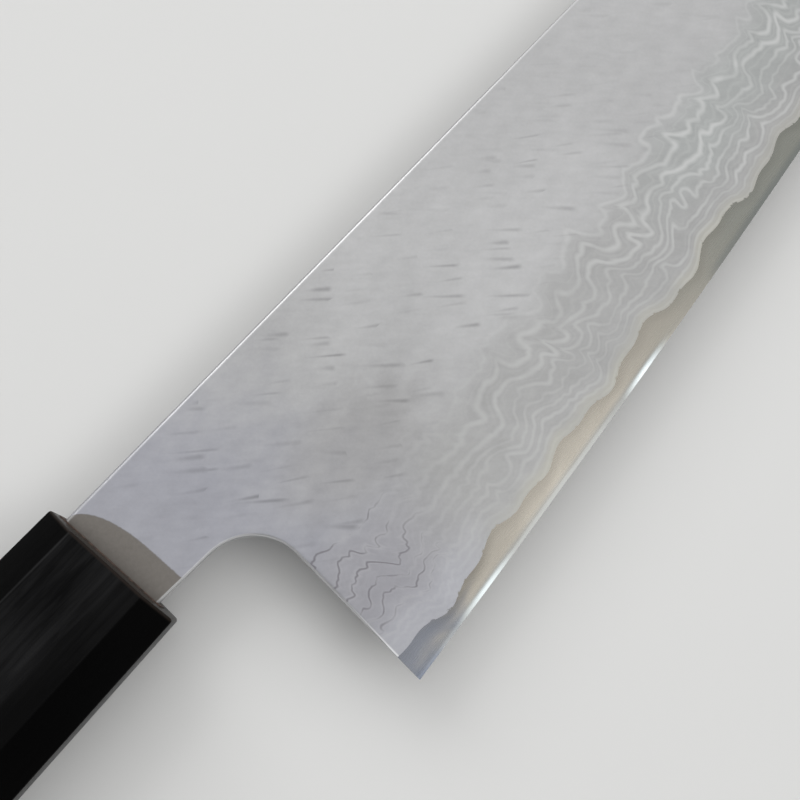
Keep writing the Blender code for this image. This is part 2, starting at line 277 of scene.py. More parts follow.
def spaced(start, end, step):
    return list(np.linspace(start, end, max(1, round((end - start) / step)) + 1))


def bladePlaces():
    places = [heelPlace] + [heelPlace + gap for gap in finish["easedRows"]]
    places += spaced(places[-1], finish["farFrom"], finish["columnStep"])[1:]
    return places + spaced(finish["farFrom"], claddingEnd, finish["farStep"])[1:]


def neckPlaces():
    places = spaced(-tang["length"], shoulderEnd, finish["tangStep"])
    places += spaced(shoulderEnd, shoulderStart, finish["shoulderStep"])[1:]
    places += spaced(shoulderStart, choil["start"], finish["columnStep"])[1:]
    turns = np.linspace(0, math.pi / 2, finish["choilSteps"] + 2)[1:-1]
    return places + [mix(choil["start"], heelPlace, math.sin(turn)) for turn in turns]


def faceShares():
    # shares of the way from the spine's rounding to the core line, with the choil's end among them
    top = -blade["spineRounding"]
    whole = top - float(coreLineHeight(heelPlace))
    upper = top - choil["endHeight"]
    rows = spaced(0.0, upper - finish["easedRows"][-1] - 0.1, finish["rowStep"])
    rows += [upper - gap for gap in reversed(finish["easedRows"])] + [upper]
    rows += spaced(upper, whole, finish["rowStep"])[1:]
    return np.array(rows) / whole, upper / whole


shares, choilShare = faceShares()
upperShares = shares[shares <= choilShare + 1e-9]
print("blade worked out:", round(bladeLength, 1), "mm from heel to tip,", len(shares), "rows")


def dentField(x, y, rng):
    # depth of the dents: long ones that run down towards the edge, and wide shallow facets
    s = dents
    depth = np.zeros_like(x)
    for _ in range(s["count"]):
        along = rng.uniform(*s["reach"]) if rng.random() < s["evenShare"] else rng.gamma(*s["crowd"])
        middle = Vector((along, -s["top"] - s["band"] * rng.beta(*s["bandDraw"])))
        turn = math.radians(s["turn"] + rng.normal(0, s["turnSpread"]))
        size = rng.uniform(*s["sizes"])
        near = (np.abs(x - middle.x) < s["halfBox"]) & (np.abs(y - middle.y) < s["halfBox"])
        dx, dy = x[near] - middle.x, y[near] - middle.y
        far = (dx * math.cos(turn) + dy * math.sin(turn)) / (s["length"] * size)
        side = (dy * math.cos(turn) - dx * math.sin(turn)) / (s["width"] * (1 + s["widening"] * far))
        shape = size * np.exp(-(far**2) - side**2) * (1 + s["heavyEnd"] * np.tanh(far))
        depth[near] += s["depth"] * shape
    for _ in range(s["count"] // 2):
        middle = Vector((rng.uniform(*s["reach"]), -s["top"] - s["band"] * rng.random()))
        near = (np.abs(x - middle.x) < s["facetHalfBox"]) & (np.abs(y - middle.y) < s["facetHalfBox"])
        gap = np.hypot(x[near] - middle.x, y[near] - middle.y) / rng.uniform(*s["facetSizes"])
        depth[near] += s["facetDepth"] * rng.uniform(*s["facetShares"]) * np.exp(-(gap**2))
    return depth


def rising(distance, start, run):
    return smooth((distance - start) / run)


def roundedTop(top, half):
    radius = min(blade["spineRounding"], 0.8 * (half - halfCore))
    points = [(top, halfCore)]
    for turn in np.linspace(0, math.pi / 2, finish["spineSteps"] + 1):
        points.append((top - radius * (1 - math.cos(turn)), half - radius * (1 - math.sin(turn))))
    return points


def columnPoints(place, onBlade):
    # points (height, half thickness) round the cladding in one leaning column
    half = halfThickness(place)
    if onBlade:
        top = float(spineHeight(place))
        bottom = min(float(coreLineHeight(place)), top)
        rows, wholeShare = shares, 1.0
    else:
        top, bottom = neckHeights(place)
        rows, wholeShare = upperShares, choilShare
    points = roundedTop(top, half)
    start = points[-1][0]
    heights = mix(start, bottom, rows[1:] / wholeShare)
    spineShare = (top - heights) / (top - bottom + 1e-9) * wholeShare
    halves = faceHalf(half, spineShare)
    if not onBlade:
        fade = float(smooth((place - choil["start"]) / (heelPlace - choil["start"])))
        halves = mix(half, faceHalf(halfThickness(heelPlace), spineShare), fade)
    inner = mix(top, bottom, choilShare) if onBlade else bottom
    return points + list(zip(heights, halves)) + [(inner, halfCore)]


def layOut(places, columns):
    # the columns' points, where each column starts, and the place of each point
    corners, starts, placeOf = [], [], []
    for place, column in zip(places, columns):
        starts.append(len(corners))
        corners += [(place + lean * height, height, half) for height, half in column]
        placeOf += [place] * len(column)
    return np.array(corners), starts, np.array(placeOf)


def skin(columns, starts, atHeel):
    # faces from column to column; atHeel says how the neck's last one meets the blade's longer first one
    faces = []
    for i in range(len(columns) - 1):
        a, b = starts[i], starts[i + 1]
        n, m = len(columns[i]), len(columns[i + 1])
        other = list(range(n)) if n == m else atHeel(n, m)
        for j in range(n):
            k = (j + 1) % n
            faces.append((a + j, a + k, b + other[k], b + other[j]))
    return faces


def flatMaps(place, rise, first, second):
    # two flat maps of the blade's own distances, which its materials read through flatPlaces
    pairs = {"bladeMap": (place, rise), "rimMap": (first, second)}
    return {mapName: np.stack(pair, axis=1) / mapSize for mapName, pair in pairs.items()}


def cladding(name, side, seed):
    columns = [columnPoints(place, False) for place in neckPlaces()]
    firstBlade = len(columns)
    columns += [columnPoints(place, True) for place in bladePlaces()]
    points, starts, placeOf = layOut(neckPlaces() + bladePlaces(), columns)

    # the face eases towards the choil and heel, and carries the dents
    x, y, z = points.T
    thickness = z - halfCore
    gap = np.maximum(fromOutline(x, y), 0.0)
    ease = np.minimum(finish["edgeEasing"], finish["mostEasing"] * thickness)
    inside = np.clip(1 - gap / np.maximum(ease, 1e-6), 0.0, 1.0)
    drop = np.where(x > shoulderStart, ease * (1 - np.sqrt(1 - inside**2)), 0.0)
    rng = np.random.default_rng(seed)
    calm = rising(-y, *dents["spineCalm"]) * rising(y - edgeHeight(placeOf), *dents["edgeCalm"])
    calm = calm * rising(gap, *dents["outlineCalm"])
    calm = calm * mix(dents["neckShare"], 1, rising(x, *dents["neckCalm"]))
    pressed = dentField(x, y, rng) * calm * np.minimum(1.0, thickness / dents["wholeFrom"])
    z = z - np.where(thickness > 1e-6, np.minimum(drop + pressed, dents["mostDepth"] * thickness), 0.0)
    points = np.stack([x, y, z * side], axis=1)

    # the heel's column goes on below the choil's end
    faces = skin(columns, starts, lambda n, m: [*range(n - 1), m - 1])
    heel = starts[firstBlade]
    upper = len(columns[0])
    lowest = len(columns[firstBlade])
    faces.append([heel + j for j in range(upper - 2, lowest)])
    faces.append(list(range(upper)))
    faces.append([starts[-1] + j for j in range(len(columns[-1]))])
    aboveLine = y - coreLineHeight(placeOf)
    belowSpine = spineHeight(placeOf) - y
    return meshPiece(name, points, faces, flatMaps(placeOf, aboveLine, fromOutline(x, y), belowSpine))


choilSpineShare = choil["endHeight"] / float(coreLineHeight(heelPlace))


def coreColumn(place, onBlade):
    if not onBlade:
        right = [(height, halfCore) for height in neckHeights(place)]
        return right + [(height, -half) for height, half in reversed(right)]
    spine = float(spineHeight(place))
    edge = float(edgeHeight(place))
    coreLine = min(float(coreLineHeight(place)), spine)
    flat = min(halfCore, halfThickness(place))
    bevelTop = edge + min(blade["bevelHeight"], blade["mostBevel"] * (coreLine - edge))
    bevelHalf = min(blade["bevelThickness"], flat) / 2
    right = [(spine, flat), (mix(spine, coreLine, choilSpineShare), flat), (coreLine, flat)]
    for down in finish["grindSteps"]:
        bulge = blade["grindBulge"] * down * (1 - down)
        half = mix(flat, bevelHalf, down) + (flat - bevelHalf) * bulge
        right.append((mix(coreLine, bevelTop, down), half))
    kneeDown, kneeHalf = finish["bevelKnee"]
    right += [(bevelTop, bevelHalf), (mix(bevelTop, edge, kneeDown), bevelHalf * kneeHalf)]
    return right + [(edge, 0.0)] + [(height, -half) for height, half in reversed(right)]


def core(name):
    places = neckPlaces() + bladePlaces() + spaced(claddingEnd, tipPlace, finish["tipStep"])[1:]
    neckCount = len(neckPlaces())
    columns = [coreColumn(place, i >= neckCount) for i, place in enumerate(places)]
    points, starts, placeOf = layOut(places, columns)
    faces = skin(columns, starts, lambda n, m: [0, 1, m - 2, m - 1])
    heel = starts[neckCount]
    whole = len(columns[neckCount])
    faces.append([heel + j for j in range(1, whole - 1)])
    faces.append(list(range(4)))
    aboveEdge = points[:, 1] - edgeHeight(placeOf)
    belowLine = coreLineHeight(placeOf) - points[:, 1]
    return meshPiece(name, points, faces, flatMaps(placeOf, aboveEdge, belowLine, belowLine))


def inScene(name, data):
    thing = bpy.data.objects.new(name, data)
    bpy.context.collection.objects.link(thing)
    return thing


def smoothPiece(mesh, bm, sharpFrom):
    bmesh.ops.recalc_face_normals(bm, faces=bm.faces)
    bm.to_mesh(mesh)
    bm.free()
    mesh.shade_smooth()
    mesh.set_sharp_from_angle(angle=sharpFrom)
    return inScene(mesh.name, mesh)


def meshPiece(name, points, faces, maps):
    mesh = bpy.data.meshes.new(name)
    placed = (points + np.array(bladeZero)) * mm
    mesh.from_pydata(placed.tolist(), [], faces)
    bm = bmesh.new()
    bm.from_mesh(mesh)
    bm.verts.ensure_lookup_table()
    for mapName, flatMap in maps.items():
        layer = bm.loops.layers.uv.new(mapName)
        for face in bm.faces:
            for loop in face.loops:
                loop[layer].uv = flatMap[loop.vert.index]
    bmesh.ops.remove_doubles(bm, verts=bm.verts, dist=1e-7)
    return smoothPiece(mesh, bm, finish["sharpFrom"])


class Wire:
    # one output socket of a material; maths on it adds nodes to the same tree

    def __init__(self, tree, socket=None):
        self.tree = tree
        self.socket = socket

    def node(self, kind, settings=None, sockets=None, out=0):
        made = self.tree.nodes.new("ShaderNode" + kind)
        for name, value in (settings or {}).items():
            setattr(made, name, value)
        for name, value in (sockets or {}).items():
            if isinstance(value, Wire):
                self.tree.links.new(value.socket, made.inputs[name])
            else:
                made.inputs[name].default_value = value
        return Wire(self.tree, made.outputs[out]) if len(made.outputs) else made

    def maths(self, operation, first, second=0.0):
        return self.node("Math", {"operation": operation}, {0: first, 1: second})

    def __add__(self, other):
        return self.maths("ADD", self, other)

    def __sub__(self, other):
        return self.maths("SUBTRACT", self, other)

    def __rsub__(self, other):
        return self.maths("SUBTRACT", other, self)

    def __mul__(self, other):
        return self.maths("MULTIPLY", self, other)

    def __truediv__(self, other):
        return self.maths("DIVIDE", self, other)

    def __rtruediv__(self, other):
        return self.maths("DIVIDE", other, self)

    def __pow__(self, other):
        return self.maths("POWER", self, other)

    def __rpow__(self, other):
        return self.maths("POWER", other, self)

    def __abs__(self):
        return self.maths("ABSOLUTE", self)

    __radd__ = __add__
    __rmul__ = __mul__

    def between(self, low, high):
        # 0 up to low, 1 past high, smooth between; high may be the lower of the two
        return self.node(
            "MapRange",
            {"interpolation_type": "SMOOTHSTEP"},
            {"Value": self, "From Min": low, "From Max": high},
        )

    def larger(self, other):
        return self.maths("MAXIMUM", self, other)

    def crease(self, softness):
        # the value's size, with the crease at zero a little rounded
        return (self * self + softness) ** 0.5

    def blend(self, first, second):
        # a colour: first where this mask is 0, second where it is 1
        sides = [side if isinstance(side, Wire) else (*side, 1.0) for side in (first, second)]
        return self.node("Mix", {"data_type": "RGBA"}, {0: self, 6: sides[0], 7: sides[1]}, out=2)

    def scale(self, colour, share):
        return self.node("VectorMath", {"operation": "SCALE"}, {0: colour, "Scale": share})

    def noise(self, vector, scale=1.0, detail=2.0, roughness=0.5, distortion=0.0):
        sockets = {"Vector": vector, "Scale": scale, "Detail": detail, "Roughness": roughness}
        sockets["Distortion"] = distortion
        return self.node("TexNoise", {}, sockets)

    def pattern(self, x, y, z, *looks):
        # noise on three distances that are already divided by its size
        return self.noise(self.vector(x, y, z), 1.0, *looks)

    def hump(self, start, top, topEnd, end):
        # rises from start to top and falls from topEnd to end
        return self.between(start, top) * self.between(end, topEnd)

    def vector(self, x, y, z=0.0):
        return self.node("CombineXYZ", {}, {"X": x, "Y": y, "Z": z})

    def parts(self, vector):
        split = self.node("SeparateXYZ", {}, {0: vector}).socket.node
        return [Wire(self.tree, socket) for socket in split.outputs]


def newMaterial(name):
    material = bpy.data.materials.new(name)
    material.use_nodes = True
    material.node_tree.nodes.clear()
    return material, Wire(material.node_tree)


def finishMaterial(material, wire, sockets, height=None):
    # sockets are the shader's; height in mm drives the bump
    if height is not None:
        bump = wire.node("Bump", {}, {"Strength": 1.0, "Distance": mm, "Height": height})
        sockets = {**sockets, "Normal": bump}
    shader = wire.node("BsdfPrincipled", {}, sockets)
    wire.node("OutputMaterial", {}, {"Surface": shader})
    return material


def worldPlaces(wire):
    # x, y, z in mm from the blade's zero
    place = wire.node("TexCoord", out=3)
    return [axis / mm - zero for axis, zero in zip(wire.parts(place), bladeZero)]


def flatPlaces(wire):
    # the distances in mm that the piece's two flat maps hold
    places = []
    for mapName in ("bladeMap", "rimMap"):
        along, over, _ = wire.parts(wire.node("UVMap", {"uv_map": mapName}))
        places += [along * mapSize, over * mapSize]
    return places


def onWhichSide(wire, z):
    # 1 on the side of the blade that faces up, 0 on the other
    return wire.maths("GREATER_THAN", z, 0.0)


coreFinish = {
    "heelColour": (0.190, 0.200, 0.226),
    "middleColour": (0.334, 0.311, 0.270),
    "farColour": (0.198, 0.201, 0.181),
    "middleFrom": (22.0, 34.0),  # along the blade, where its colour comes in
    "farFrom": (64.0, 107.0),
    "borderShadow": 0.10,  # painted shadow: how much darker it is just below the core line
    "shadowBelow": (1.8, 0.0),
    "heelShadow": 0.24,  # how much more painted shadow where the tones change
    "heelShadowPart": (22.0, 30.0, 33.0, 40.0),
    "strawLift": 0.10,  # how much it gains in its straw-coloured part
    "strawPart": (38.0, 47.0, 54.0, 66.0),
    "edgeTint": (0.61, 0.665, 0.74),  # the edge mirrors more light, so its own tone is darker and cooler
    "tintRise": (1.45, 0.28),
    "lessTint": ((74.0, 96.0, 0.45), (27.0, 19.0, 0.35)),  # start, end and how much less
    "edgeHighlightPart": (73.0, 79.0, 88.0, 94.0),  # where less tint gives the edge a painted highlight
    "edgeHighlightShare": 0.75,
    "glintColour": (0.42, 0.455, 0.46),
    "paintedGlints": ((26.0, 32.8, 40.5, 0.9), (66.0, 72.2, 79.5, 1.25)),  # painted glints on the edge bevel: start, middle, end and gain
    "glintRise": (0.95, 0.40),
    "wallColour": (0.40, 0.40, 0.41),
    "wallRise": (5.6, 6.2),  # higher up nothing shows but the core's walls
    "roughness": 0.27,
    "leastRoughness": 0.08,
    "bevelRoughness": 0.20,
    "bevelRise": (0.62, 0.55),
    "grainDepth": 0.0025,
    "farShift": 23.0,  # moves the pattern between the two sides
}


def coreTone(wire, x, y, place, below, side):
    # bluish at the heel, then straw, then olive; below is the distance under the core line
    s = coreFinish
    clouds = wire.pattern(place / 9.0, below / 3.0, side, 2.0)
    grain = wire.pattern(x * 0.7, y * 9.0, side, 3.0, 0.6)
    shifted = place + (clouds - 0.5) * 14
    middle = (shifted + below.between(0.5, 2.5) * 4).between(*s["middleFrom"])
    tone = middle.blend(s["heelColour"], s["middleColour"])
    tone = shifted.between(*s["farFrom"]).blend(tone, s["farColour"])
    # painted shadow just below the core line, deeper by the heel
    lineShadow = place.hump(*s["heelShadowPart"]) * s["heelShadow"] + s["borderShadow"]
    lineShadow = lineShadow * (below + (clouds - 0.5) * 0.6).between(*s["shadowBelow"])
    lift = place.hump(*s["strawPart"]) * s["strawLift"]
    return tone, (clouds - 0.5) * 0.2 + (grain - 0.5) * 0.09 + 1 - lineShadow + lift, clouds, grain


def coreSteel():
    s = coreFinish
    material, wire = newMaterial("coreSteel")
    x, y, z = worldPlaces(wire)
    place, rise, below, _ = flatPlaces(wire)
    side = onWhichSide(wire, z) * s["farShift"]
    tone, bright, clouds, grain = coreTone(wire, x, y, place, below, side)
    bevel = rise.between(*s["bevelRise"])
    tone = wire.scale(tone, bright)
    tinted = wire.node("VectorMath", {"operation": "MULTIPLY"}, {0: tone, 1: s["edgeTint"]})
    tint = 1
    for start, end, share in s["lessTint"]:
        tint = tint - place.between(start, end) * share
    # painted highlight: less tint keeps the edge brighter there
    tint = tint - place.hump(*s["edgeHighlightPart"]) * s["edgeHighlightShare"]
    tone = (tint * rise.between(*s["tintRise"])).blend(tone, tinted)
    # painted highlight: glints on the edge bevel
    for start, middle, end, gain in s["paintedGlints"]:
        glint = place.hump(start, middle, middle, end) * rise.between(*s["glintRise"])
        tone = glint.blend(tone, [part * gain for part in s["glintColour"]])
    wall = rise.between(*s["wallRise"])
    tone = wall.blend(tone, s["wallColour"])
    roughness = (grain - 0.5) * 0.08 + (clouds - 0.5) * 0.05 + s["roughness"]
    roughness = roughness * (1 - bevel) + bevel * s["bevelRoughness"] + wall * 0.08
    return finishMaterial(
        material, wire,
        {"Base Color": tone, "Metallic": 1.0, "Roughness": roughness.larger(s["leastRoughness"])},
        grain * s["grainDepth"] * (1 - bevel),
    )


damascus = {
    "faceColour": (0.408, 0.408, 0.411),
    "coolColour": (0.305, 0.308, 0.338),
    "groundColour": (0.322, 0.323, 0.320),
    "heelColour": (0.285, 0.283, 0.304),
    "heelLit": (0.392, 0.398, 0.428),  # just above the core line
    "farGround": (0.334, 0.345, 0.340),
    "coolPlaces": (42.0, 10.0),  # along the blade: where the cool colour starts and is whole
    "groundPlaces": (25.0, 42.0),
    "litPlaces": (42.0, 30.0),
    "litRise": (7.0, 1.5),  # above the core line
    "farPlaces": (84.0, 106.0),
    "farRise": (2.0, 9.0),
    "darkerByHeelPlaces": (58.0, 34.0),
    "darkerByHeelShare": 0.15,
    "lineColour": (0.545, 0.548, 0.545),
    "linePlaces": ((36.0, 62.0), (66.0, 104.0)),
    "lineShares": (0.15, 0.18, 0.29),  # how strong at the heel, and what each of these stretches adds
    "darkLineColour": (0.150, 0.142, 0.160),
    "darkLineShare": 0.75,
    "darkPlaces": (36.0, 27.0),
    "darkRise": (3.0, 5.0),
    "haloColour": (0.40, 0.39, 0.34),
    "haloPlaces": (36.0, 50.0),
    "haloRise": (2.4, 0.0),
    "neckColour": (0.155, 0.144, 0.132),
    "patchLength": 4.35,  # of the darker patch on the neck, which ends in a curve
    "patchHeight": 12.0,
    "patchPower": 2.6,
    "patchEdge": (-0.12, 0.12),
    "biteDepth": 2.2,  # of the core's small bites into the core line
    "biteFrom": 0.56,
    # painted highlight along the rounded outline and spine
    "rimHighlightColour": (0.64, 0.645, 0.65),
    "outlineHighlight": (0.36, 0.14),
    "spineHighlight": (0.62, 0.34),
    "highlightShares": (0.8, 0.35),
    "shadeColour": (0.305, 0.300, 0.297),  # painted shade: a darker patch above the heel
    "shadePlace": (32.0, -21.0),
    "shadeSize": (12.0, 7.0),
    "zoneHeight": 17.2,  # how far the lines reach above the core line
    "finestSpacing": 0.92,  # of the lines, beside the core line
    "spacingGrowth": 0.155,  # more for each mm above it
    "lineWidth": 0.34,
    "widthGrowth": 0.026,
    "darkLineWidth": 0.21,
    "foldLength": 7.2,
    "foldHeight": 2.9,
    "foldTurns": 8.6,
    "foldLean": 0.40,
    "kinkLength": 3.4,
    "kinkHeight": 4.2,
    "crimpLength": 1.2,
    "crimpHeight": 0.9,
    "jagLength": 0.75,  # by the heel alone
    "jagHeight": 0.55,
    "softness": 0.004,  # rounds the creases
    "overhang": 3.8,
    "slopeStep": 0.15,
    "roughness": 0.36,
    "leastRoughness": 0.18,
    "dashShade": 0.50,  # painted shade of the dents: its tone, as a share of the tone round it
    "dashShare": 0.75,
    "dashLength": 9.0,
    "dashPitch": 2.5,
    "dashWidth": 0.14,
    "dashHead": 0.42,  # how much wider its heavy end is
    "dashRandomness": 0.82,
    "dashFar": (104.0, 58.0, 0.75),  # start, end and how much of the strokes goes
    "dashNeck": (4.0, 14.0, 0.6),
    "dashSpine": (0.8, 2.5),
    "dashTurns": ((1.0, -45.0, 0.0), (0.76, -39.0, 31.7)),  # size, turn in degrees and shift of each layer
    "farShift": 41.3,  # moves the pattern between the two sides
}


def dashes(wire, x, y, side):
    # long soft strokes with a heavy end, the painted shade of small dents: one may lie in each long cell,
    # turned down towards the edge
    s = damascus
    mask = None
    for size, turn, shift in s["dashTurns"]:
        cos, sin = math.cos(math.radians(turn)), math.sin(math.radians(turn))
        length, pitch = s["dashLength"] * size, s["dashPitch"] * size
        along = (x * cos + y * sin + side * 53.1 + shift) / length
        across = (y * cos - x * sin + side * 17.3 + shift) / pitch
        voronoi = wire.node(
            "TexVoronoi",
            {"voronoi_dimensions": "2D"},
            {"Vector": wire.vector(along, across), "Scale": 1.0, "Randomness": s["dashRandomness"]},
        )
        colour = Wire(wire.tree, voronoi.socket.node.outputs["Color"])
        position = Wire(wire.tree, voronoi.socket.node.outputs["Position"])
        pickA, pickB, pickC = wire.parts(colour)
        px, py, _ = wire.parts(position)
        dx = (along - px) * (pickC * 1.2 + 1.9)
        bend = dx * (pickB - 0.5) * 0.22 + dx * dx * (pickC - 0.5) * 0.08
        dy = (across - py + bend) * pitch
        width = (pickB * 0.19 + s["dashWidth"]) * (dx * s["dashHead"] + 1)
        shape = (abs(dy) / width).between(1.6, 0.0) * dx.between(-1.0, 0.3) * dx.between(0.95, 0.58)
        stroke = shape * pickA.between(0.34, 0.90) * (dx * 0.28 + 0.72)
        mask = stroke if mask is None else mask.larger(stroke)
    return mask


def bentRise(wire, place, rise, offset):
    # the height that a layer had before forging: folds bend the layers in company, kinks and crimps
    # crease them, and the core line straightens them
    s = damascus
    sway = wire.pattern(place / 7.0, rise / 5.0, offset + 1.9, 0.0)
    drift = place + rise * s["foldLean"] + (sway - 0.5) * s["overhang"]
    fold = wire.pattern(drift / s["foldLength"], rise / 18.0, offset, 0.0)
    fold = wire.maths("SINE", (fold - 0.5) * s["foldTurns"] + 0.8).crease(s["softness"] * 8)
    kink = wire.pattern(drift / s["kinkLength"], rise / 9.0, offset + 7.7, 0.0)
    kink = (kink - 0.5).crease(s["softness"])
    crimp = wire.pattern(drift / s["crimpLength"], rise / 4.0, offset + 3.3, 0.0)
    jag = wire.pattern(drift / s["jagLength"], rise / 3.0, offset + 5.9, 0.0)
    loose = rise.between(-1.0, 7.0)
    atHeel = place.between(42.0, 28.0)
    bends = (fold - 0.6) * s["foldHeight"] - (kink - 0.12) * s["kinkHeight"]
    bends = loose * bends * (1 - atHeel * 0.5)
    crimps = (crimp - 0.5) * s["crimpHeight"] * (loose * 0.6 + 0.4 + atHeel * 1.3)
    crimps = crimps + (jag - 0.5) * atHeel * s["jagHeight"]
    return (rise + bends + crimps).larger(0.0)


def steelLayers(wire, place, rise, offset):
    # the layers as a count, the height they had, and how many mm one layer takes up here
    s = damascus
    bent = bentRise(wire, place, rise, offset)
    alongSlope = (bentRise(wire, place + s["slopeStep"], rise, offset) - bent) / s["slopeStep"]
    upSlope = (bentRise(wire, place, rise + s["slopeStep"], offset) - bent) / s["slopeStep"]
    slope = ((alongSlope * alongSlope + upSlope * upSlope) ** 0.4).larger(0.4)
    growth = s["spacingGrowth"]
    layers = wire.maths("LOGARITHM", bent * (growth / s["finestSpacing"]) + 1, math.e) * (1 / growth)
    return layers, bent, (bent * growth + s["finestSpacing"]) / slope


def damascusSteel():
    s = damascus
    material, wire = newMaterial("damascusSteel")
    x, y, z = worldPlaces(wire)
    side = onWhichSide(wire, z)
    place, rise, rimGap, spineGap = flatPlaces(wire)
    offset = side * s["farShift"]

    layers, bent, spacing = steelLayers(wire, place, rise, offset)
    fromLine = (0.5 - wire.maths("PINGPONG", layers, 0.5)) * spacing
    number = wire.maths("FLOOR", layers) + offset
    strength = wire.node("TexWhiteNoise", {"noise_dimensions": "1D"}, {"W": number})
    patchy = wire.pattern(place / 9.0, rise / 4.0, offset + 3.1, 2.0).between(0.36, 0.60)
    wobble = wire.pattern(place / 8.0, 0.0, offset + 5.0, 1.0)
    zone = (bent + (wobble - 0.5) * 5.0).between(s["zoneHeight"] + 0.8, s["zoneHeight"] - 0.8)
    zone = zone * spineGap.between(0.6, 1.6)
    groundShare = (rise * 0.5 + bent * 0.5).between(s["zoneHeight"] + 2.0, s["zoneHeight"] - 5.0)
    middleLines, farLines = s["linePlaces"]
    heelShare, middleGain, farGain = s["lineShares"]
    lineShare = place.between(*middleLines) * middleGain + place.between(*farLines) * farGain + heelShare
    half = (bent * s["widthGrowth"] + s["lineWidth"]) * (patchy * 0.4 + strength * 0.3 + 0.6) * 0.5
    light = (fromLine / half).between(2.0, 0.0) * (strength * 0.4 + 0.6) * (patchy * 0.5 + 0.5)
    betweenLines = (0.5 - wire.maths("PINGPONG", layers + 0.5, 0.5)) * spacing
    fine = (betweenLines / (s["lineWidth"] * 0.7)).between(2.0, 0.0) * strength * 0.2
    light = light.larger(fine) * zone * lineShare * (rise.between(0.0, 6.0) * 0.4 + 0.6)
    breaks = wire.pattern(place / 4.0, layers, offset + 6.1, 3.0, 0.6).between(0.36, 0.58)
    darkHalf = (breaks * 0.6 + 0.5) * (s["darkLineWidth"] * 0.5)
    darkLine = (fromLine / darkHalf).between(2.3, 0.0) * zone * breaks
    darkLine = darkLine * place.between(*s["darkPlaces"]) * rise.between(*s["darkRise"])

    dash = dashes(wire, x, y, side)
    dense = wire.pattern(x / 15.0, y / 11.0, offset + 9.0, 1.0).between(0.34, 0.60)
    dash = dash * (dense * 0.75 + 0.25) * rise.between(s["zoneHeight"] - 4.0, s["zoneHeight"] + 1.0)
    start, end, loss = s["dashFar"]
    dash = dash * (x.between(start, end) * loss + (1 - loss)) * spineGap.between(*s["dashSpine"])
    start, end, loss = s["dashNeck"]
    dash = dash * (x.between(start, end) * loss + (1 - loss))

    clouds = wire.pattern(x / 21.0, y / 15.0, offset + 1.0, 3.0, 0.55)
    speckle = wire.pattern(x * 2.2, y * 2.2, offset, 3.0, 0.6)
    streaks = wire.pattern((x - y) / 4.2, (x + y) / 1.3, offset + 4.4, 2.0, 0.5)
    mottle = wire.pattern(x / 3.4, y / 2.6, offset + 2.7, 2.0, 0.5)
    cool = (x + (clouds - 0.5) * 22 + (mottle - 0.5) * 12).between(*s["coolPlaces"])
    tone = cool.blend(s["faceColour"], s["coolColour"])
    ground = place.between(*s["groundPlaces"]).blend(s["heelColour"], s["groundColour"])
    far = (place + (clouds - 0.5) * 20).between(*s["farPlaces"]) * rise.between(*s["farRise"])
    lit = (rise + (mottle - 0.5) * 4).between(*s["litRise"]) * place.between(*s["litPlaces"])
    ground = (lit * 0.6).blend(ground, s["heelLit"])
    tone = (groundShare * 0.9).blend(tone, far.blend(ground, s["farGround"]))
    # painted shade: a darker patch above the heel
    away = [(axis - zero) / size for axis, zero, size in zip((x, y), s["shadePlace"], s["shadeSize"])]
    shade = (away[0] ** 2 + away[1] ** 2 + (mottle - 0.5) * 1.2).between(1.5, 0.2)
    tone = (shade * 0.4).blend(tone, s["shadeColour"])
    bright = (clouds - 0.5) * 0.22 + (mottle - 0.5) * 0.16 + (speckle - 0.5) * 0.12 + (streaks - 0.5) * 0.12
    # darker over a stretch by the heel, less where the tone is cool and over the ground
    darkerByHeel = (x + (clouds - 0.5) * 22).between(*s["darkerByHeelPlaces"]) * (1 - cool) * (1 - groundShare * 0.8)
    bright = bright + 1 - darkerByHeel * s["darkerByHeelShare"]
    tone = wire.scale(tone, bright)
    halo = (rise + (speckle - 0.5) * 1.2).between(*s["haloRise"]) * place.between(*s["haloPlaces"])
    tone = (halo * (patchy * 0.3 + 0.4)).blend(tone, s["haloColour"])
    tone = light.blend(tone, s["lineColour"])
    tone = (darkLine * s["darkLineShare"]).blend(tone, s["darkLineColour"])
    bulge = (y / s["patchHeight"] + 1).larger(0.0) ** s["patchPower"]
    neckEdge = ((1 - bulge).larger(0.0) ** 0.5) * s["patchLength"]
    patch = (neckEdge - x + (speckle - 0.5) * 0.25).between(*s["patchEdge"])
    tone = patch.blend(tone, wire.scale(s["neckColour"], (speckle - 0.5) * 0.3 + 1))
    # painted shade: the dents' strokes darken the tone, less on the neck's patch
    tone = (dash * s["dashShare"] * (1 - patch * 0.5)).blend(tone, wire.scale(tone, s["dashShade"]))
    bared, baredBright, _, _ = coreTone(wire, x, y, place, 0 - rise, side * coreFinish["farShift"])
    bite = wire.pattern(place * 1.1, rise * 0.8, offset + 2.2, 3.0, 0.6)
    bite = (rise - (bite - s["biteFrom"]) * s["biteDepth"]).between(0.07, -0.03)
    tone = bite.blend(tone, wire.scale(bared, baredBright))
    # painted highlight on the rounded edges of the outline and the spine; their lower roughness is polish
    outlineShare, spineShare = s["highlightShares"]
    rim = rimGap.between(*s["outlineHighlight"]) * outlineShare
    rim = rim.larger(spineGap.between(*s["spineHighlight"]) * spineShare)
    tone = rim.blend(tone, s["rimHighlightColour"])

    roughness = s["roughness"] + (speckle - 0.5) * 0.10 + zone * 0.02
    roughness = roughness - light * 0.08 + darkLine * 0.08 - rim * 0.06
    grain = wire.pattern(x * 5.5, y * 5.5, offset, 2.0, 0.6)
    height = grain * 0.004 + speckle * 0.006 + streaks * 0.010
    height = height - dash * 0.012 + light * 0.005 - darkLine * 0.008 - patch * 0.01
    return finishMaterial(
        material, wire,
        {"Base Color": tone, "Metallic": 1.0, "Roughness": roughness.larger(s["leastRoughness"])},
        height,
    )


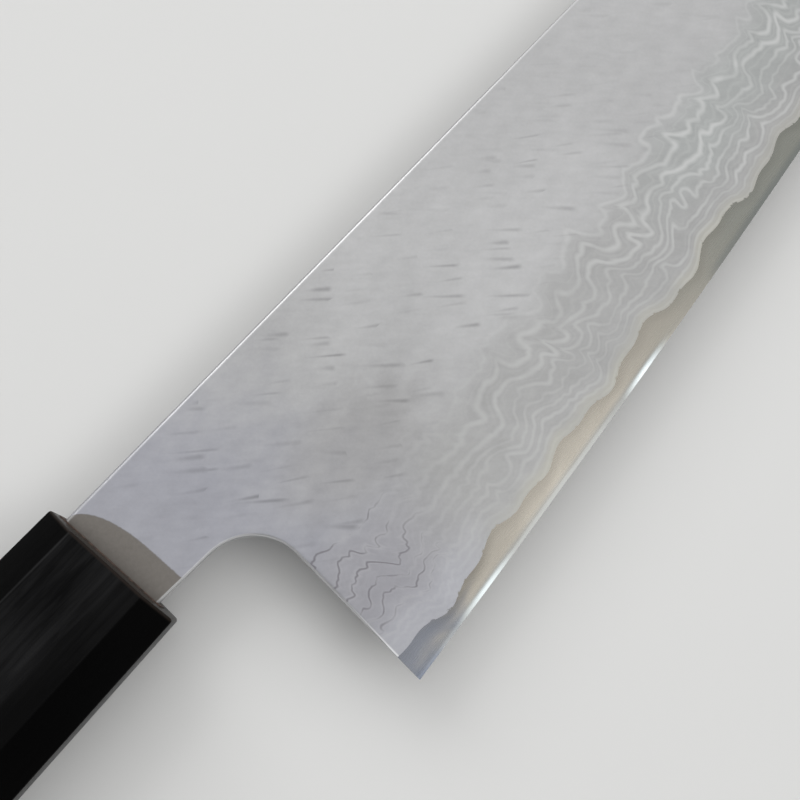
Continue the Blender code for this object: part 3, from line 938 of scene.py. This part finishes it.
horn = {
    "darkColour": (0.0014, 0.0014, 0.0016),
    "fibreColour": (0.0148, 0.0148, 0.0154),
    "warmColour": (0.022, 0.017, 0.014),
    "wearAndHighlightColour": (0.036, 0.036, 0.037),
    "cornerShadeShare": 0.20,
    "cornerRoughness": 0.45,  # more than on the sides
    "lowerDarkHeight": (-11.8, -10.4),  # below this, on the edge's side, the tone is darker
    "lowerDarkShare": 0.42,  # of the tone below it, in front
    "lowerDarkFall": 0.30,  # how much of that goes further back
    "lowerDarkBack": (-5.0, -20.0),
    "frontPlaces": (-0.50, -0.15),
    "roughness": 0.30,
    "gloss": 0.035,
}


def facets(wire, patches):
    # masks from the facing, which is a whole eighth turn on every facet: the four cut corners, which get
    # painted shade, and the rounded arrises, which get a painted highlight and wear from handling, the
    # upper ones most
    facing = Wire(wire.tree, wire.node("NewGeometry").socket.node.outputs["Normal"])
    _, up, out = wire.parts(facing)
    aside = (up * up + out * out).between(0.6, 0.95)
    corner = abs(up * out).between(0.15, 0.45)
    turned = wire.maths("ARCTAN2", up, out) * 4
    wearAndHighlight = wire.maths("SINE", turned) ** 2 * aside * (up.between(-0.1, 0.1) * 0.6 + 0.07)
    return corner * aside, wearAndHighlight * (patches * 0.8 + 0.3)


def blackHorn():
    s = horn
    material, wire = newMaterial("blackHorn")
    x, y, z = worldPlaces(wire)
    fibres = wire.pattern(x / 11.0, y * 1.3, z * 1.3, 5.0, 0.62, 0.5)
    hairs = wire.pattern(x / 5.0, y * 5.5, z * 5.5, 3.0, 0.6)
    clouds = wire.pattern(x / 24.0, y / 7.0, z / 7.0, 2.0)
    pale = fibres.between(0.34, 0.70) * 0.55 + clouds.between(0.36, 0.60) * 0.45
    tone = pale.blend(s["darkColour"], s["fibreColour"])
    tone = (clouds.between(0.56, 0.74) * 0.2).blend(tone, s["warmColour"])
    tone = (hairs.between(0.60, 0.78) * 0.35).blend(tone, s["fibreColour"])
    # darker on the edge's side of the ferrule, more so further back
    aboveLowerDark = (y + (clouds - 0.5) * 2.0).between(*s["lowerDarkHeight"])
    lowerDarkKept = s["lowerDarkShare"] - x.between(*s["lowerDarkBack"]) * s["lowerDarkFall"]
    tone = wire.scale(tone, aboveLowerDark * (1 - lowerDarkKept) + lowerDarkKept)
    corner, wearAndHighlight = facets(wire, fibres)
    # painted shade: the cut-corner facets are darkened by their facing
    tone = wire.scale(tone, 1 - corner * (1 - s["cornerShadeShare"]))
    front = x.between(*s["frontPlaces"]) * 0.9
    tone = front.blend(tone, s["warmColour"])
    # painted highlight and handling wear on the rounded arrises, the upper ones most
    tone = wearAndHighlight.blend(tone, s["wearAndHighlightColour"])
    roughness = (fibres - 0.5) * 0.22 + (hairs - 0.5) * 0.10 + s["roughness"]
    roughness = roughness + corner * s["cornerRoughness"]
    return finishMaterial(
        material, wire,
        {"Base Color": tone, "Roughness": roughness, "Specular IOR Level": s["gloss"]},
        fibres * 0.03 + hairs * 0.010,
    )


ebony = {
    "darkColour": (0.0014, 0.0012, 0.0012),
    "grainColour": (0.0080, 0.0070, 0.0064),
    "poreColour": (0.001, 0.001, 0.001),
    "wearAndHighlightColour": (0.030, 0.028, 0.027),
    "cornerShadeShare": 0.20,
    "cornerRoughness": 0.40,
    "roughness": 0.38,
    "gloss": 0.035,
}


def ebonyWood():
    s = ebony
    material, wire = newMaterial("ebonyWood")
    x, y, z = worldPlaces(wire)
    rings = wire.pattern(x / 60.0, y / 2.2, z / 5.0, 4.0, 0.55, 0.35)
    pores = wire.pattern(x / 2.4, y * 6.5, z * 6.5, 2.0, 0.5)
    fibres = wire.pattern(x / 10.0, y * 3.2, z * 3.2, 4.0, 0.65)
    pore = pores.between(0.66, 0.74)
    grain = rings.between(0.40, 0.66) * 0.6 + fibres.between(0.42, 0.72) * 0.4
    tone = grain.blend(s["darkColour"], s["grainColour"])
    tone = (pore * 0.8).blend(tone, s["poreColour"])
    corner, wearAndHighlight = facets(wire, fibres)
    # painted shade: the cut-corner facets are darkened by their facing
    tone = wire.scale(tone, 1 - corner * (1 - s["cornerShadeShare"]))
    # painted highlight and handling wear on the rounded arrises, the upper ones most
    tone = wearAndHighlight.blend(tone, s["wearAndHighlightColour"])
    roughness = (fibres - 0.5) * 0.16 + (rings - 0.5) * 0.10 + pore * 0.12 + s["roughness"]
    roughness = roughness + corner * s["cornerRoughness"]
    return finishMaterial(
        material, wire,
        {"Base Color": tone, "Roughness": roughness, "Specular IOR Level": s["gloss"]},
        fibres * 0.018 - pore * 0.05 + rings * 0.01,
    )


fillers = {
    "sealColour": (0.120, 0.074, 0.054),
    "sealDark": (0.030, 0.018, 0.014),
    "resinColour": (0.34, 0.19, 0.075),
    "resinDark": (0.17, 0.085, 0.035),
    "woodColour": (0.56, 0.43, 0.28),
    "woodDark": (0.36, 0.25, 0.15),
}


def grainyFiller(name, light, dark, scale, roughness):
    material, wire = newMaterial(name)
    x, y, z = worldPlaces(wire)
    lumps = wire.noise(wire.vector(x, y, z), scale, 4.0, 0.6)
    grit = wire.noise(wire.vector(x, y, z), scale * 5, 2.0, 0.6)
    tone = (lumps.between(0.36, 0.64) * 0.8 + grit.between(0.5, 0.7) * 0.2).blend(dark, light)
    return finishMaterial(
        material, wire,
        {"Base Color": tone, "Roughness": (grit - 0.5) * 0.2 + roughness},
        lumps * 0.05 + grit * 0.02,
    )


def dowelWood():
    material, wire = newMaterial("dowelWood")
    x, y, z = worldPlaces(wire)
    rings = wire.pattern(x / 40.0, y / 1.6, z / 6.0, 3.0, 0.5, 0.4)
    fibres = wire.pattern(x / 7.0, y * 4.0, z * 4.0, 4.0, 0.65)
    pale = rings.between(0.38, 0.62) * 0.65 + fibres * 0.35
    tone = pale.blend(fillers["woodDark"], fillers["woodColour"])
    return finishMaterial(
        material, wire,
        {"Base Color": tone, "Roughness": (fibres - 0.5) * 0.2 + 0.68},
        fibres * 0.03,
    )


easing = {
    "width": 0.12,
    "segments": 2,
    "easedFrom": math.radians(50),  # only edges that turn more
    "flatTo": math.radians(0.5),
    "sharpFrom": math.radians(24),
}


def easedCopy(name, node):
    # a fine copy of a frame piece, with its square edges eased and its curves shaded smooth
    bm = bmesh.new()
    bm.from_mesh(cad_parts[node].data)
    bmesh.ops.remove_doubles(bm, verts=bm.verts, dist=1e-6)
    bmesh.ops.dissolve_limit(bm, angle_limit=easing["flatTo"], verts=bm.verts, edges=bm.edges)
    sharp = [edge for edge in bm.edges if edge.calc_face_angle(0.0) > easing["easedFrom"]]
    bmesh.ops.bevel(
        bm, geom=sharp, offset=easing["width"] * mm, segments=easing["segments"],
        profile=0.5, affect="EDGES", clamp_overlap=True,
    )
    return smoothPiece(bpy.data.meshes.new(name), bm, easing["sharpFrom"])


def dress(piece, node, material):
    piece.data.materials.clear()
    piece.data.materials.append(material)
    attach(piece, "root")
    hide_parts(node)


damascusFinish = damascusSteel()
right = cladding("right_cladding_fine", 1, finish["seed"])
dress(right, "cladding_right", damascusFinish)
left = cladding("left_cladding_fine", -1, finish["seed"] + 1)
dress(left, "cladding_left", damascusFinish)
dress(core("core_fine"), "blade_core", coreSteel())
print("blade made")

dress(easedCopy("ferrule_eased", "horn_ferrule"), "horn_ferrule", blackHorn())
dress(easedCopy("handle_eased", "ebony_handle"), "ebony_handle", ebonyWood())
inside = {
    "mouth_seal": grainyFiller("sealPaste", fillers["sealColour"], fillers["sealDark"], 1.6, 0.58),
    "tang_bedding": grainyFiller("beddingResin", fillers["resinColour"], fillers["resinDark"], 0.35, 0.45),
    "ferrule_dowel": dowelWood(),
}
for node, material in inside.items():
    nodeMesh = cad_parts[node].data
    nodeMesh.materials.clear()
    nodeMesh.materials.append(material)
print("handle made")

studio = {
    "floorColour": (0.80, 0.80, 0.79),
    "floorSize": 12.0,  # metres
    "floorDrop": 0.05,
    "floorRoughness": 0.85,
    "farFloor": (0.30, 1.3),  # metres; between them the floor fades into the backdrop
    "farColour": (0.0, 0.0, 0.0),  # of the floor where it has faded
    "mottleColour": (0.72, 0.72, 0.71),
    "mottleScale": 60.0,
    "mottleShare": 0.06,
    "worldStrength": 0.26,
    "backdropStrength": 0.78,  # what the camera and the metal see
    "backdropUpTo": (0.62, 0.30),  # upward part of the direction
    "lampTarget": (50, -20, 0),  # from the blade's zero
}
lamps = {  # distances and sizes in metres
    "key": {"direction": (0.30, 0.05, 0.95), "distance": 2.0, "size": 3.6, "radiance": 0.94},
    "rim": {"direction": (0.25, 0.74, 0.60), "distance": 1.8, "size": 1.02, "radiance": 2.3},
    "edge": {"direction": (0.28, -0.56, 0.78), "distance": 1.8, "size": 0.72, "radiance": 1.6},
}


def softbox(kind):
    s = lamps[kind]
    light = bpy.data.lights.new(kind + "_softbox", "AREA")
    light.shape = "SQUARE"
    light.size = s["size"]
    light.energy = s["radiance"] * math.pi * light.size**2
    lampObject = inScene(light.name, light)
    direction = Vector(s["direction"]).normalized()
    target = (bladeZero + Vector(studio["lampTarget"])) * mm
    lampObject.location = target + direction * s["distance"]
    lampObject.rotation_euler = direction.to_track_quat("Z", "Y").to_euler()


def backdropRays(wire):
    # 1 for what the camera sees, also in a mirror or through something, 0 for what lights the scene
    rays = wire.node("LightPath").socket.node.outputs
    camera = Wire(wire.tree, rays["Is Camera Ray"])
    mirrored = Wire(wire.tree, rays["Is Glossy Ray"])
    through = Wire(wire.tree, rays["Is Transmission Ray"])
    return camera.larger(mirrored).larger(through)


def floor():
    half = studio["floorSize"] / 2
    mesh = bpy.data.meshes.new("floor")
    corners = [(-half, -half, 0), (half, -half, 0), (half, half, 0), (-half, half, 0)]
    mesh.from_pydata(corners, [], [(0, 1, 2, 3)])
    piece = inScene("floor", mesh)
    piece.location.z = -studio["floorDrop"] * mm
    material, wire = newMaterial("paleFloor")
    place = wire.node("TexCoord", out=3)
    mottle = wire.noise(place, studio["mottleScale"], 3.0)
    distance = wire.node("VectorMath", {"operation": "LENGTH"}, {0: place}, out=1)
    far = distance.between(*studio["farFloor"])
    near = (mottle * studio["mottleShare"]).blend(studio["floorColour"], studio["mottleColour"])
    glow = far * backdropRays(wire) * studio["backdropStrength"]
    sockets = {
        "Base Color": far.blend(near, studio["farColour"]),
        "Roughness": studio["floorRoughness"],
        "Specular IOR Level": 0.0,
        "Emission Color": wire.vector(glow, glow, glow),
        "Emission Strength": 1.0,
    }
    mesh.materials.append(finishMaterial(material, wire, sockets))


def skyLight():
    world = bpy.data.worlds.new("studio")
    world.use_nodes = True
    world.node_tree.nodes.clear()
    wire = Wire(world.node_tree)
    # the lamps don't hide the sky behind them, so what mirrors sees the pale backdrop low down only
    _, _, up = wire.parts(wire.node("TexCoord"))
    pale = backdropRays(wire) * up.between(*studio["backdropUpTo"])
    strength = pale * (studio["backdropStrength"] - studio["worldStrength"]) + studio["worldStrength"]
    background = wire.node("Background", {}, {"Color": (1.0, 1.0, 1.0, 1.0), "Strength": strength})
    wire.node("OutputWorld", {}, {"Surface": background})
    bpy.context.scene.world = world


floor()
skyLight()
for kind in lamps:
    softbox(kind)

view = {
    "place": (7.456, -25.843, 130.571),  # from the blade's zero
    "forward": (0.25232, 0.03218, -0.96711),
    "up": (0.71909, 0.66254, 0.20966),
    "lens": 43.745,
    "sensor": 36.0,
    "nearest": 0.005,  # metres
}


def camera():
    data = bpy.data.cameras.new("camera")
    data.sensor_width = view["sensor"]
    data.lens = view["lens"]
    data.clip_start = view["nearest"]
    cameraObject = inScene("camera", data)
    back = -Vector(view["forward"]).normalized()
    right = Vector(view["up"]).cross(back).normalized()
    turned = Matrix((right, back.cross(right), back)).transposed()
    place = Matrix.Translation((bladeZero + Vector(view["place"])) * mm)
    cameraObject.matrix_world = place @ turned.to_4x4()
    bpy.context.scene.camera = cameraObject


camera()
bpy.context.scene.view_settings.view_transform = "Standard"
print("studio made")
